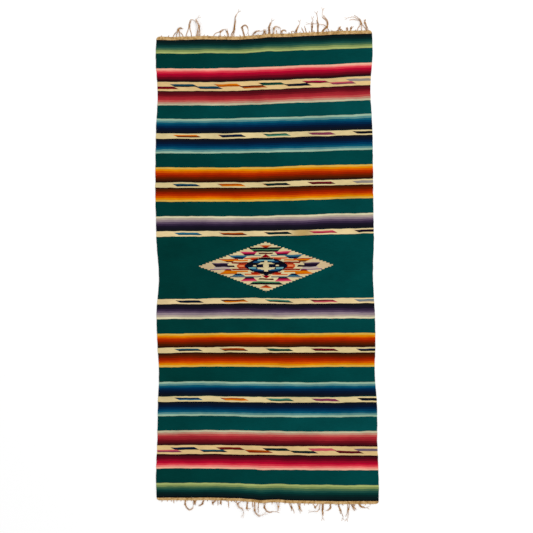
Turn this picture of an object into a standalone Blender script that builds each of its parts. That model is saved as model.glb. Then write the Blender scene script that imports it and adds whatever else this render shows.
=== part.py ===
"""A woven wool serape laid out flat, with its two headings and knotted fringes.

Metres, +Z up. The origin is under the middle of the central diamond, on the flat underside.
+Y runs along the cloth's length, towards its top end, and +X runs across it to the right.
"""
from collections import namedtuple
import math
import random

import bmesh
import bpy
from mathutils import Vector
import numpy as np

MM = 0.001

# The cloth: one wall of weft-faced wool, with a narrow heading past each end of the coloured web
WALL = 2.4 * MM
WEB_HALF = 1052.0 * MM
HEADINGS = {1: 16.0 * MM, -1: 12.5 * MM}
SEAM = 0.4 * MM
WEB_COLUMNS = 36
WEB_ROWS = 40
FINE_START = -76.0 * MM
FINE_END = 94.0 * MM
FINE_COLUMNS = 13
FINE_CLEAR = 0.02
HEADING_STEP = 14.0 * MM
CORNER = 13.0 * MM
CORNER_COLUMNS = (1.5 * MM, 4.0 * MM, 8.0 * MM, CORNER)
CORNER_DEPTH = 0.3

# Where each weft line lies on the surface, in millimetres. woven is its distance along the loom from
# the middle, left and right are its ends across, and the shifts are how far it has crept along.
Section = namedtuple("Section", "woven left right shifts")
SECTIONS = (
    Section(-1070, -508, 512, (-10, -9, -16, -23, -27, -27)),
    Section(-960, -512, 512, (-11, -10, -14, -18, -20, -20)),
    Section(-800, -506, 506, (-9, -8, -10, -13, -14, -14)),
    Section(-620, -503, 504, (-7, -5, -8, -10, -10, -7)),
    Section(-490, -498, 494, (-6, -4, -5, -7, -6, -5)),
    Section(-340, -506, 497, (-6, -3, -2, -4, -2, -2)),
    Section(-200, -509, 494, (-6, -4, -2, -4, -2, -2)),
    Section(-60, -498, 486, (-6, -3, -2, -2, 0, 2)),
    Section(120, -509, 490, (-5, -3, -3, 0, 5, 10)),
    Section(250, -513, 488, (-4, -3, -3, 1, 8, 13)),
    Section(430, -515, 486, (-3, -3, -3, 2, 8, 13)),
    Section(620, -512, 483, (-2, -2, 0, 5, 11, 17)),
    Section(800, -504, 474, (-3, -4, -1, 7, 15, 24)),
    Section(960, -513, 484, (-5, -4, -2, 7, 14, 22)),
    Section(1070, -510, 481, (-10, -9, -7, 5, 13, 20)),
)

# How far across the shifts are given, from -1 at the left edge to 1 at the right one
SHIFT_PLACES = np.array((-1.0, -0.5, -0.2, 0.2, 0.6, 1.0))

# Soft ridges that run in from an end of the cloth and fade out: the old fold down the middle,
# and the short ripples beside it. across is the crest, reach how far in from the end it runs.
Ridge = namedtuple("Ridge", "end across height half_width reach")
RIDGES = (
    Ridge(1, -20, 4.5, 36, 800),
    Ridge(-1, -18, 4.0, 36, 740),
    Ridge(1, -56, 3.5, 26, 170),
    Ridge(1, 300, 3.0, 40, 130),
    Ridge(-1, -238, 3.5, 34, 150),
    Ridge(-1, -100, 4.5, 32, 200),
    Ridge(-1, 42, 4.5, 32, 180),
    Ridge(-1, 330, 3.0, 40, 120),
)

# Ripples in the last weft lines, which push them out towards an end, or in where push is negative
Ripple = namedtuple("Ripple", "end across push half_width reach")
RIPPLES = (
    Ripple(1, -440, -2.0, 50, 60),
    Ripple(1, -290, 2.0, 90, 60),
    Ripple(1, -140, -1.5, 60, 60),
    Ripple(1, 10, 3.0, 45, 70),
    Ripple(1, 115, -1.5, 60, 60),
    Ripple(1, 340, 1.5, 110, 60),
    Ripple(-1, -350, 1.8, 120, 60),
    Ripple(-1, -125, -2.0, 55, 60),
    Ripple(-1, -32, 3.5, 42, 80),
    Ripple(-1, 48, -3.0, 45, 80),
)

# The fringe: thick warp ends, knotted in locks, that lie just above the surface
YARN = 2.4 * MM
YARN_TIP = 1.4 * MM
ROOT_PITCH = 3.1 * MM
KNOT_PITCH = 3.9 * MM
KNOT_SWELL = 1.35
FLOOR_GAP = 0.5 * MM
LANE = 3.6 * MM
STEM_STEPS = 3
TAIL_STEPS = 6
LEAN_AT_ROOT = 0.3
WAVE = 9.0
NUB_PITCH = 24.0 * MM
NUB_CLEAR = 6.0 * MM
NUB_SHORTEST = 3.5 * MM
NUB_LONGEST = 9.0 * MM
NUB_LEAN = 35.0

# root is the middle of the lock's place across, and its outer strands start a spread apart.
# They come together at the knot, stem long and leaning so many degrees to the right. Past the
# knot the tail turns over its first half and curls over its second, and its strands fork by so
# many degrees. lanes 1 and 2 pass over lane 0.
Lock = namedtuple("Lock", "root spread strands stem lean tail turn curl fork lane")
TOP_LOCKS = (
    Lock(-410, 46, 4, 33, 2, 26, 85, 10, 0, 0),
    Lock(-361, 25, 2, 47, 4, 51, 8, 112, 0, 0),
    Lock(-318, 17, 4, 45, 8, 45, -55, 90, 0, 2),
    Lock(-230, 34, 2, 26, 41, 27, 20, 0, 0, 0),
    Lock(-180, 6, 2, 22, -16, 15, -6, 0, 30, 0),
    Lock(-160, 14, 3, 35, 16, 81, -14, 26, 0, 0),
    Lock(-106, 4, 2, 40, -18, 60, 140, 70, 0, 0),
    Lock(-66, 4, 2, 16, 45, 50, 40, 10, 0, 2),
    Lock(-13, 16, 4, 12, 0, 14, 20, 0, 50, 0),
    Lock(10, 8, 3, 28, -3, 32, 28, 4, 0, 0),
    Lock(28, 4, 2, 22, 8, 46, 90, 60, 0, 2),
    Lock(42, 0, 1, 11, 0, 7, 0, 0, 0, 0),
    Lock(64, 8, 2, 9, 10, 30, 80, 60, 0, 0),
    Lock(113, 0, 1, 8, -10, 14, 110, 40, 0, 0),
    Lock(131, 14, 3, 10, 10, 44, 25, -30, 0, 0),
    Lock(168, 0, 1, 14, -28, 12, 0, 10, 0, 0),
    Lock(180, 0, 1, 16, -18, 16, 4, -6, 0, 0),
    Lock(205, 3, 2, 26, 2, 34, -4, 6, 6, 0),
    Lock(233, 3, 2, 28, 0, 56, -9, 3, 0, 0),
    Lock(254, 7, 3, 31, 50, 84, -96, 46, 10, 0),
    Lock(284, 0, 1, 26, -40, 82, -48, 0, 0, 2),
    Lock(333, 28, 4, 10, -10, 15, 30, 0, 40, 0),
    Lock(367, 6, 2, 8, 0, 12, 0, 0, 30, 0),
    Lock(382, 3, 2, 12, 20, 14, 26, 0, 10, 0),
    Lock(434, 42, 3, 33, -6, 76, -62, -34, 30, 1),
    Lock(461, 6, 2, 36, -22, 20, 30, 0, 10, 0),
)
BOTTOM_LOCKS = (
    Lock(-430, 0, 1, 7, 4, 6, 0, 0, 0, 0),
    Lock(-377, 3, 2, 17, -4, 66, 60, 120, 0, 0),
    Lock(-334, 16, 4, 9, 0, 14, 6, 0, 50, 0),
    Lock(-293, 4, 2, 17, -22, 22, -42, -10, 0, 0),
    Lock(-238, 4, 2, 17, -56, 14, 80, 10, 0, 0),
    Lock(-227, 0, 1, 12, 0, 12, 0, 0, 0, 0),
    Lock(-214, 4, 2, 12, -2, 9, 0, 0, 20, 0),
    Lock(-178, 0, 1, 17, 0, 16, 4, -10, 0, 0),
    Lock(-136, 34, 2, 12, 0, 62, 60, -75, 0, 1),
    Lock(-91, 4, 2, 30, -7, 22, 84, 0, 30, 0),
    Lock(-68, 0, 1, 14, 0, 12, 10, 0, 0, 0),
    Lock(-58, 3, 2, 36, 0, 60, 50, 76, 0, 1),
    Lock(-41, 0, 1, 24, 0, 22, 0, 0, 0, 0),
    Lock(-12, 6, 2, 22, -4, 66, 78, 28, 0, 0),
    Lock(49, 12, 2, 20, 6, 20, -20, -10, 0, 2),
    Lock(104, 8, 2, 22, 24, 30, -15, -25, 40, 0),
    Lock(146, 12, 3, 20, 8, 26, 4, -10, 50, 0),
    Lock(222, 24, 2, 16, -6, 8, 0, 0, 0, 0),
    Lock(243, 0, 1, 24, -10, 42, -74, -4, 0, 1),
    Lock(255, 7, 3, 24, 0, 40, 0, 0, 0, 0),
    Lock(290, 4, 2, 18, 0, 26, -67, -13, 0, 0),
    Lock(327, 4, 2, 28, 18, 38, -2, 4, 12, 0),
    Lock(374, 8, 2, 24, -4, 44, -6, -2, 12, 0),
    Lock(394, 20, 4, 14, 8, 20, 36, 10, 40, 0),
    Lock(424, 8, 3, 8, 30, 32, 48, 4, 0, 0),
)

# How the strands of a lock lie against each other at the knot: to the side, and up
BUNDLES = {
    1: ((0.0, 0.0),),
    2: ((-0.5, 0.0), (0.5, 0.0)),
    3: ((-0.5, 0.0), (0.0, 0.95), (0.5, 0.0)),
    4: ((-0.5, 0.0), (-0.5, 1.0), (0.5, 1.0), (0.5, 0.0)),
}

# Colour, then roughness, of what each piece is woven from
WEB_LOOK = ((0.006, 0.053, 0.048), 0.93)
HEADING_LOOK = ((0.42, 0.27, 0.13), 0.95)


def smooth_step(t):
    t = min(max(t, 0.0), 1.0)
    return t * t * (3 - 2 * t)


def weights(knots, place):
    """How much the value at each knot counts at a place, for a smooth curve through all of them."""
    k = np.clip(np.searchsorted(knots, place) - 1, 0, len(knots) - 2)
    span = np.expand_dims(knots[k + 1] - knots[k], -1)
    t = np.expand_dims(place - knots[k], -1) / span
    values = np.eye(len(knots))
    slopes = np.gradient(values, knots, axis=0)
    start = (1 + 2 * t) * (1 - t) ** 2 * values[k] + t * (1 - t) ** 2 * span * slopes[k]
    end = t * t * (3 - 2 * t) * values[k + 1] + t * t * (t - 1) * span * slopes[k + 1]
    return start + end


WOVEN_STOPS = np.array([section.woven for section in SECTIONS]) * MM
SECTION_SIZES = np.array([(s.left, s.right, *s.shifts) for s in SECTIONS]) * MM


def edge(end):
    """How far along the loom the warps leave the heading at one end."""
    return end * (WEB_HALF + HEADINGS[end])


def crest(feature, x, woven):
    """How strong a ridge or ripple is at a place: 1 on its crest at the very end, down to 0."""
    off = np.minimum(np.abs(x - feature.across * MM) / (feature.half_width * MM), 1.0)
    inward = np.minimum(np.abs(edge(feature.end) - woven) / (feature.reach * MM), 1.0)
    return np.cos(off * math.pi / 2) ** 2 * np.cos(inward * math.pi / 2) ** 2


def lay(across, woven):
    """The place on the surface of a point of one weft line, across being -1 to 1."""
    sizes = weights(WOVEN_STOPS, woven) @ SECTION_SIZES
    share = (across + 1) / 2
    x = sizes[..., 0] * (1 - share) + sizes[..., 1] * share
    y = woven + np.sum(weights(SHIFT_PLACES, across) * sizes[..., 2:], axis=-1)
    for ripple in RIPPLES:
        y = y + ripple.end * ripple.push * MM * crest(ripple, x, woven)
    return x, y


def selvedges(woven):
    """Where a weft line begins and ends across."""
    return lay(-1.0, woven)[0], lay(1.0, woven)[0]


def across_at(x, woven):
    """How far across the weave, -1 to 1, a place lies."""
    left, right = selvedges(woven)
    return 2 * (x - left) / (right - left) - 1


def lift(x, woven):
    """How far the underside is off the surface: nothing, but for the soft ridges."""
    return sum(ridge.height * MM * crest(ridge, x, woven) for ridge in RIDGES)


def wall(mesh, columns, open_cells=()):
    """A closed wall over columns of the weave; cells of its last row's side may be left open."""
    low = []
    high = []
    for across, rows in columns:
        low.append([])
        high.append([])
        for woven in rows:
            x, y = lay(across, woven)
            z = lift(x, woven)
            low[-1].append(mesh.verts.new((x, y, z)))
            high[-1].append(mesh.verts.new((x, y, z + WALL)))
    last_i = len(columns) - 1
    last_j = len(low[0]) - 1
    for i in range(last_i):
        for j in range(last_j):
            mesh.faces.new((high[i][j], high[i + 1][j], high[i + 1][j + 1], high[i][j + 1]))
            mesh.faces.new((low[i][j], low[i][j + 1], low[i + 1][j + 1], low[i + 1][j]))
        mesh.faces.new((low[i][0], low[i + 1][0], high[i + 1][0], high[i][0]))
        if i not in open_cells:
            mesh.faces.new((low[i][last_j], high[i][last_j], high[i + 1][last_j], low[i + 1][last_j]))
    for j in range(last_j):
        mesh.faces.new((low[0][j], high[0][j], high[0][j + 1], low[0][j + 1]))
        mesh.faces.new((low[last_i][j], low[last_i][j + 1], high[last_i][j + 1], high[last_i][j]))
    return low, high


def finish_solid(mesh, name, look):
    """Turn the faces outwards and give the object its own matt woollen material."""
    bmesh.ops.recalc_face_normals(mesh, faces=mesh.faces)
    data = bpy.data.meshes.new(name)
    mesh.to_mesh(data)
    mesh.free()
    colour, roughness = look
    material = bpy.data.materials.new(name)
    material.use_nodes = True
    shader = material.node_tree.nodes["Principled BSDF"]
    shader.inputs["Base Color"].default_value = (*colour, 1.0)
    shader.inputs["Roughness"].default_value = roughness
    shader.inputs["Metallic"].default_value = 0.0
    data.materials.append(material)
    solid = bpy.data.objects.new(name, data)
    bpy.context.scene.collection.objects.link(solid)
    return solid


def make_web():
    """The coloured web: a single wall, finer where the old fold runs down it."""
    columns = np.linspace(-1, 1, WEB_COLUMNS + 1)
    fine = across_at(np.linspace(FINE_START, FINE_END, FINE_COLUMNS), 0.0)
    beside = (columns < fine[0] - FINE_CLEAR) | (columns > fine[-1] + FINE_CLEAR)
    columns = np.sort(np.concatenate((columns[beside], fine)))
    mesh = bmesh.new()
    rows = np.linspace(-WEB_HALF, WEB_HALF, WEB_ROWS + 1)
    wall(mesh, [(across, rows) for across in columns])
    return finish_solid(mesh, "serape_web", WEB_LOOK)


def lock_path(lock, end, swing):
    """Points along a lock from root to tip, with the way it points at each; swing is in degrees."""
    woven = edge(end)
    x = lock.root * MM
    y = lay(across_at(x, woven), woven)[1]
    points = [(Vector((x, y, 0)), 0.0)]
    for k in range(1, STEM_STEPS + TAIL_STEPS + 1):
        if k <= STEM_STEPS:
            length = lock.stem / STEM_STEPS
            heading = lock.lean * min(1.0, k / STEM_STEPS + LEAN_AT_ROOT)
        else:
            part = (k - STEM_STEPS) / TAIL_STEPS
            length = lock.tail / TAIL_STEPS
            heading = lock.lean + (lock.turn + swing) * min(1.0, part * 2)
            heading += lock.curl * max(0.0, part * 2 - 1)
            heading += WAVE * math.sin(lock.root + 2 * k)
        heading = math.radians(heading)
        x += length * MM * math.sin(heading)
        y += end * length * MM * math.cos(heading)
        points.append((Vector((x, y, 0)), heading))
    return points


def lock_strands(lock, end, dice):
    """The strands of a lock: apart at their roots, together at the knot, forked past it."""
    woven = edge(end)
    strands = []
    for i, (beside, above) in enumerate(BUNDLES[lock.strands]):
        longest = i == lock.strands // 2
        keep = TAIL_STEPS if longest else round(TAIL_STEPS * dice.uniform(0.55, 0.9))
        place = i / max(1, lock.strands - 1) - 0.5
        root_side = place * max(lock.spread * MM, ROOT_PITCH * (lock.strands - 1))
        path = lock_path(lock, end, place * lock.fork)
        points = []
        for k, (middle, heading) in enumerate(path[:STEM_STEPS + keep + 1]):
            pinch = smooth_step(k / STEM_STEPS)
            raised = smooth_step(2 * k / STEM_STEPS)
            tail = max(0.0, (k - STEM_STEPS) / TAIL_STEPS)
            width = YARN * (1 - tail) + YARN_TIP * tail
            if k == STEM_STEPS and longest:
                width *= KNOT_SWELL
            side = Vector((math.cos(heading), -end * math.sin(heading), 0))
            point = middle + side * (root_side * (1 - pinch) + beside * KNOT_PITCH * pinch)
            root_height = lift(point.x, woven) + WALL / 2
            rest = FLOOR_GAP + YARN / 2 + lock.lane * LANE + above * KNOT_PITCH
            point.z = root_height * (1 - raised) + rest * raised
            if k > 0:
                point.z = max(point.z, FLOOR_GAP + width / 2)
            points.append((point, width))
        strands.append(points)
    return strands


def nub_strand(x, end, dice):
    """A short warp end that was trimmed or worn away close to the heading."""
    woven = edge(end)
    y = lay(across_at(x, woven), woven)[1]
    height = lift(x, woven) + WALL / 2
    length = dice.uniform(NUB_SHORTEST, NUB_LONGEST)
    lean = math.radians(dice.uniform(-NUB_LEAN, NUB_LEAN))
    middle = Vector((x, y + end * NUB_SHORTEST / 2, max(height, FLOOR_GAP + YARN / 2)))
    tip = Vector((x + length * math.sin(lean), y + end * length * math.cos(lean), middle.z))
    return [(Vector((x, y, height)), YARN), (middle, YARN), (tip, YARN_TIP)]


def fringe_strands(locks, end, seed):
    """Every strand of one end from left to right: the locks, and nubs in the bare stretches."""
    dice = random.Random(seed)
    strands = []
    for lock in locks:
        strands += lock_strands(lock, end, dice)
    woven = edge(end)
    roots = [strand[0][0].x for strand in strands]
    left, right = selvedges(woven)
    x = left + NUB_PITCH
    while x < right - NUB_PITCH * 0.8:
        if min(abs(x - root) for root in roots) > NUB_CLEAR:
            strands.append(nub_strand(x, end, dice))
        x += NUB_PITCH * dice.uniform(0.7, 1.3)
    strands.sort(key=lambda strand: strand[0][0].x)
    for before, strand in zip(strands, strands[1:]):
        strand[0][0].x = max(strand[0][0].x, before[0][0].x + ROOT_PITCH)
    return strands


def grow_strand(mesh, root_ring, strand):
    """A four-sided yarn, from its open cell in the heading's edge to its tip."""
    ring = root_ring
    for k in range(1, len(strand)):
        point, width = strand[k]
        ahead = strand[min(k + 1, len(strand) - 1)][0]
        along = (ahead - strand[k - 1][0]).normalized()
        side = along.cross(Vector((0, 0, 1))).normalized() * width / 2
        up = side.cross(along).normalized() * width / 2
        corners = (point - side - up, point + side - up, point + side + up, point - side + up)
        new_ring = [mesh.verts.new(corner) for corner in corners]
        for c in range(4):
            mesh.faces.new((ring[c], ring[(c + 1) % 4], new_ring[(c + 1) % 4], new_ring[c]))
        ring = new_ring
    mesh.faces.new(ring)


def make_fringe(name, end, locks, seed):
    """One heading strip, rounded at its two outer corners, with its strands growing out of it."""
    strands = fringe_strands(locks, end, seed)
    woven = edge(end)
    left, right = selvedges(woven)
    stops = [left] + [left + inward for inward in CORNER_COLUMNS]
    open_cells = []
    for strand in strands:
        start = strand[0][0].x - YARN / 2
        bare = start - stops[-1]
        parts = max(1, math.ceil(bare / HEADING_STEP))
        stops += [stops[-1] + bare * (n + 1) / parts for n in range(parts)]
        open_cells.append(len(stops) - 1)
        stops.append(start + YARN)
    stops += [right - inward for inward in CORNER_COLUMNS[::-1]] + [right]
    columns = []
    for x in stops:
        inward = min(1.0, min(x - left, right - x) / CORNER)
        depth = (HEADINGS[end] - SEAM) * max(CORNER_DEPTH, math.sqrt(1 - (1 - inward) ** 2))
        rows = (end * (WEB_HALF + SEAM), end * (WEB_HALF + SEAM + depth))
        columns.append((across_at(x, woven), rows))
    mesh = bmesh.new()
    low, high = wall(mesh, columns, open_cells)
    for cell, strand in zip(open_cells, strands):
        left_low, left_high = low[cell][-1], high[cell][-1]
        right_low, right_high = low[cell + 1][-1], high[cell + 1][-1]
        if end > 0:
            root_ring = (left_low, right_low, right_high, left_high)
        else:
            root_ring = (right_low, left_low, left_high, right_high)
        grow_strand(mesh, root_ring, strand)
    return finish_solid(mesh, name, HEADING_LOOK)


for old in list(bpy.data.objects):
    bpy.data.objects.remove(old, do_unlink=True)

make_web()
make_fringe("fringe_top", 1, TOP_LOCKS, 11)
make_fringe("fringe_bottom", -1, BOTTOM_LOCKS, 23)
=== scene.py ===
"""A handwoven wool serape laid out flat: its web, its two plain headings and their knotted fringes."""
from collections import namedtuple
import math
import random

import bpy
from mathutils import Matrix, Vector, noise
import numpy as np


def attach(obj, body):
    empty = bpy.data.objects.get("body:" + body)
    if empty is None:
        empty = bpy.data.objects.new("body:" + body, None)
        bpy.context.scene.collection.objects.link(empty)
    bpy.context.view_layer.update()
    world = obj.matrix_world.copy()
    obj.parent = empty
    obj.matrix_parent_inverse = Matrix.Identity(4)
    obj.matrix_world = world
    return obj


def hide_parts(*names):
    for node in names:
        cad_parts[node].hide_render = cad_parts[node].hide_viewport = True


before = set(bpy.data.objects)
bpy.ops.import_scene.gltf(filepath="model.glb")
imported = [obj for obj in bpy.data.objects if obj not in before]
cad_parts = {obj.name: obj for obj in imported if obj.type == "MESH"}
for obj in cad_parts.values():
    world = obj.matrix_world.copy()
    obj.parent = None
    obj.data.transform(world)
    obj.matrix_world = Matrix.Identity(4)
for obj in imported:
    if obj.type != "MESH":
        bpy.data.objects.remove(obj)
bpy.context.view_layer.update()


# The lie of the cloth
# The web was woven straight on a loom and has since been pulled out of true: its selvedges wave and
# its weft lines have crept along. Everything woven is placed by where it was on the loom.
MM = 0.001
WEB_HALF = 1052.0 * MM
HEADINGS = {1: 16.0 * MM, -1: 12.5 * MM}

# Where each weft line lies on the surface, in millimetres. woven is its distance along the loom from
# the middle, left and right are its ends across, and the shifts are how far it has crept along.
Section = namedtuple("Section", "woven left right shifts")
SECTIONS = (
    Section(-1070, -508, 512, (-10, -9, -16, -23, -27, -27)),
    Section(-960, -512, 512, (-11, -10, -14, -18, -20, -20)),
    Section(-800, -506, 506, (-9, -8, -10, -13, -14, -14)),
    Section(-620, -503, 504, (-7, -5, -8, -10, -10, -7)),
    Section(-490, -498, 494, (-6, -4, -5, -7, -6, -5)),
    Section(-340, -506, 497, (-6, -3, -2, -4, -2, -2)),
    Section(-200, -509, 494, (-6, -4, -2, -4, -2, -2)),
    Section(-60, -498, 486, (-6, -3, -2, -2, 0, 2)),
    Section(120, -509, 490, (-5, -3, -3, 0, 5, 10)),
    Section(250, -513, 488, (-4, -3, -3, 1, 8, 13)),
    Section(430, -515, 486, (-3, -3, -3, 2, 8, 13)),
    Section(620, -512, 483, (-2, -2, 0, 5, 11, 17)),
    Section(800, -504, 474, (-3, -4, -1, 7, 15, 24)),
    Section(960, -513, 484, (-5, -4, -2, 7, 14, 22)),
    Section(1070, -510, 481, (-10, -9, -7, 5, 13, 20)),
)

# How far across the shifts are given, from -1 at the left edge to 1 at the right one
SHIFT_PLACES = np.array((-1.0, -0.5, -0.2, 0.2, 0.6, 1.0))

# Soft ridges that run in from an end of the cloth and fade out: the old fold down the middle, and
# the short ripples beside it.
Ridge = namedtuple("Ridge", "end across height half_width reach")
RIDGES = (
    Ridge(1, -20, 4.5, 36, 800),
    Ridge(-1, -18, 4.0, 36, 740),
    Ridge(1, -56, 3.5, 26, 170),
    Ridge(1, 300, 3.0, 40, 130),
    Ridge(-1, -238, 3.5, 34, 150),
    Ridge(-1, -100, 4.5, 32, 200),
    Ridge(-1, 42, 4.5, 32, 180),
    Ridge(-1, 330, 3.0, 40, 120),
)

# Ripples in the last weft lines, which push them out towards an end, or in where push is negative.
# The sizes of ridges and ripples are in millimetres too.
Ripple = namedtuple("Ripple", "end across push half_width reach")
RIPPLES = (
    Ripple(1, -440, -2.0, 50, 130),
    Ripple(1, -290, 2.0, 90, 130),
    Ripple(1, -140, -1.5, 60, 130),
    Ripple(1, 10, 3.0, 45, 190),
    Ripple(1, 115, -1.5, 60, 130),
    Ripple(1, 340, 1.5, 110, 130),
    Ripple(-1, -350, 1.8, 120, 130),
    Ripple(-1, -125, -2.0, 55, 190),
    Ripple(-1, -32, 3.5, 42, 190),
    Ripple(-1, 48, -3.0, 45, 190),
)


def ease(t):
    """0 to 1 with a soft start and a soft end."""
    t = np.clip(t, 0.0, 1.0)
    return t * t * (3 - 2 * t)


def weights(knots, place):
    """How much the value at each knot counts at a place, for a smooth curve through all of them."""
    k = np.clip(np.searchsorted(knots, place) - 1, 0, len(knots) - 2)
    span = np.expand_dims(knots[k + 1] - knots[k], -1)
    t = np.expand_dims(place - knots[k], -1) / span
    values = np.eye(len(knots))
    slopes = np.gradient(values, knots, axis=0)
    start = (1 + 2 * t) * (1 - t) ** 2 * values[k] + t * (1 - t) ** 2 * span * slopes[k]
    end = t * t * (3 - 2 * t) * values[k + 1] + t * t * (t - 1) * span * slopes[k + 1]
    return start + end


WOVEN_STOPS = np.array([section.woven for section in SECTIONS]) * MM
SECTION_SIZES = np.array([(s.left, s.right, *s.shifts) for s in SECTIONS]) * MM


def edge(end):
    """How far along the loom the warps leave the heading at one end."""
    return end * (WEB_HALF + HEADINGS[end])


def crest(feature, x, woven):
    """How strong a ridge or ripple is at a place: 1 on its crest at the very end, down to 0."""
    off = np.minimum(np.abs(x - feature.across * MM) / (feature.half_width * MM), 1.0)
    inward = np.minimum(np.abs(edge(feature.end) - woven) / (feature.reach * MM), 1.0)
    return np.cos(off * math.pi / 2) ** 2 * np.cos(inward * math.pi / 2) ** 2


def lay(across, woven):
    """The place on the surface of a point of one weft line, across being -1 to 1."""
    sizes = weights(WOVEN_STOPS, woven) @ SECTION_SIZES
    share = (across + 1) / 2
    x = sizes[..., 0] * (1 - share) + sizes[..., 1] * share
    y = woven + np.sum(weights(SHIFT_PLACES, across) * sizes[..., 2:], axis=-1)
    for ripple in RIPPLES:
        y = y + ripple.end * ripple.push * MM * crest(ripple, x, woven)
    return x, y


def selvedges(woven):
    """Where a weft line begins and ends across."""
    return lay(-1.0, woven)[0], lay(1.0, woven)[0]


def across_at(x, woven):
    """How far across the weave, -1 to 1, a place lies."""
    left, right = selvedges(woven)
    return 2 * (x - left) / (right - left) - 1


def lift(x, woven):
    """How far the underside is off the floor: nothing, but for the soft ridges."""
    return sum(ridge.height * MM * crest(ridge, x, woven) for ridge in RIDGES)


# The web
# One weft-faced wool cloth, beaten so tight that only the dyed weft shows. Its outermost warps are
# doubled, which makes the two selvedges a little thicker and rounder than the rest.
LOOM_WIDTH = 989.0 * MM
WALL = 2.4 * MM
CELL = 9.0 * MM
SELVEDGE_CORD = 0.35 * MM
SELVEDGE_PLACE = 2.6 * MM
SELVEDGE_REACH = 1.6 * MM

# Where the grid is set close, in millimetres from an edge, and the share of the thickness left there
ROUNDED_STOPS = (0.0, 0.3, 0.9, 1.8, 3.0, 5.0)
ROUNDED_LEAST = 0.12

# The cloth's own unevenness, and how far in from an edge it and the swells reach their full height
PUCKER = 0.30 * MM
PUCKER_SPACING = 34.0 * MM
PUCKER_START = 8.0 * MM
SWELL_START = 60.0 * MM

# How far the turns of the weft leave each selvedge from even, how long each bulge is, how far it
# reaches into the cloth, and which row of the noise each side takes its bulges from
SELVEDGE_PULL = 1.3 * MM
PULL_LENGTH = 24.0 * MM
PULL_REACH = 30.0 * MM
PULL_ROW = 9.5

# Low swells that storage and wear have left, each a soft oval
Swell = namedtuple("Swell", "across along height half_width half_length")
SWELLS = (
    Swell(-310, 980, 1.2, 60, 70),
    Swell(140, 1010, 1.4, 46, 60),
    Swell(410, 940, 1.0, 50, 90),
    Swell(-420, 640, 0.9, 40, 110),
    Swell(380, 520, 0.8, 60, 120),
    Swell(-260, 240, 0.7, 90, 60),
    Swell(430, 40, 0.9, 36, 90),
    Swell(-440, -210, 0.9, 34, 100),
    Swell(260, -330, 0.8, 80, 60),
    Swell(-330, -640, 1.0, 60, 90),
    Swell(420, -760, 1.1, 44, 100),
    Swell(-390, -980, 1.3, 50, 60),
    Swell(180, -990, 1.5, 40, 70),
)


def edge_stops(near, size):
    """Places from 0 to size, set close at both ends so that an edge can round over."""
    inside = [n for n in np.arange(near, size - near / 2, near) if n < size - near / 2]
    close = [stop * MM for stop in ROUNDED_STOPS]
    return np.array(close + inside + [size - stop for stop in close[::-1]])


def round_over(distance, radius):
    """The share of the full thickness at a distance in from a rounded edge."""
    inward = np.clip(distance / radius, 0.0, 1.0)
    return np.maximum(np.sqrt(1 - (1 - inward) ** 2), ROUNDED_LEAST)


def cloth_wall(name, across, woven, low, high):
    """A closed wall over a grid of the weave, with its place on the loom in metres as a UV map."""
    x, y = lay(across, woven)
    columns, rows = x.shape
    count = columns * rows
    points = [np.stack((x, y, z), axis=-1).reshape(-1, 3) for z in (high, low)]
    index = np.arange(count).reshape(columns, rows)
    upper = np.stack((index[:-1, :-1], index[1:, :-1], index[1:, 1:], index[:-1, 1:]), axis=-1)
    upper = upper.reshape(-1, 4)
    rim = np.concatenate((index[:-1, 0], index[-1, :-1], index[:0:-1, -1], index[0, :0:-1]))
    after = np.roll(rim, -1)
    side = np.stack((rim + count, after + count, after, rim), axis=-1)
    faces = np.concatenate((upper, upper[:, ::-1] + count, side))
    mesh = bpy.data.meshes.new(name)
    mesh.from_pydata(np.concatenate(points), [], faces.tolist())
    loom = np.stack((across * LOOM_WIDTH / 2, np.broadcast_to(woven, across.shape)), axis=-1)
    loom = np.tile(loom.reshape(-1, 2), (2, 1))
    corners = np.empty(len(mesh.loops), dtype=np.int32)
    mesh.loops.foreach_get("vertex_index", corners)
    mesh.uv_layers.new(name="weave").uv.foreach_set("vector", loom[corners].ravel())
    mesh.shade_smooth()
    piece = bpy.data.objects.new(name, mesh)
    bpy.context.scene.collection.objects.link(piece)
    return piece


def swell(x, y):
    """How far the low swells raise the cloth at a place."""
    total = 0.0
    for spot in SWELLS:
        off = ((x - spot.across * MM) / (spot.half_width * MM)) ** 2
        off = off + ((y - spot.along * MM) / (spot.half_length * MM)) ** 2
        total = total + spot.height * MM * ease(1 - off)
    return total


def pucker(x, y):
    """The cloth's slight unevenness, which its weaving leaves."""
    spots = [noise.noise(Vector((a, b, 0)) / PUCKER_SPACING) for a, b in zip(x.ravel(), y.ravel())]
    return PUCKER * np.array(spots).reshape(x.shape)


def uneven_selvedges(across, woven):
    """Places across with the outermost ones moved in or out a little, each side its own way."""
    waves = []
    for side in (-1, 1):
        spots = [Vector((side * PULL_ROW, stop / PULL_LENGTH, 0)) for stop in woven[0]]
        waves.append([noise.noise(spot) for spot in spots])
    near = ease(1 - (1 - np.abs(across)) * LOOM_WIDTH / 2 / PULL_REACH)
    pull = np.where(across < 0, waves[0], waves[1]) * near * np.sign(across)
    return across + pull * SELVEDGE_PULL / (LOOM_WIDTH / 2)


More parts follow.
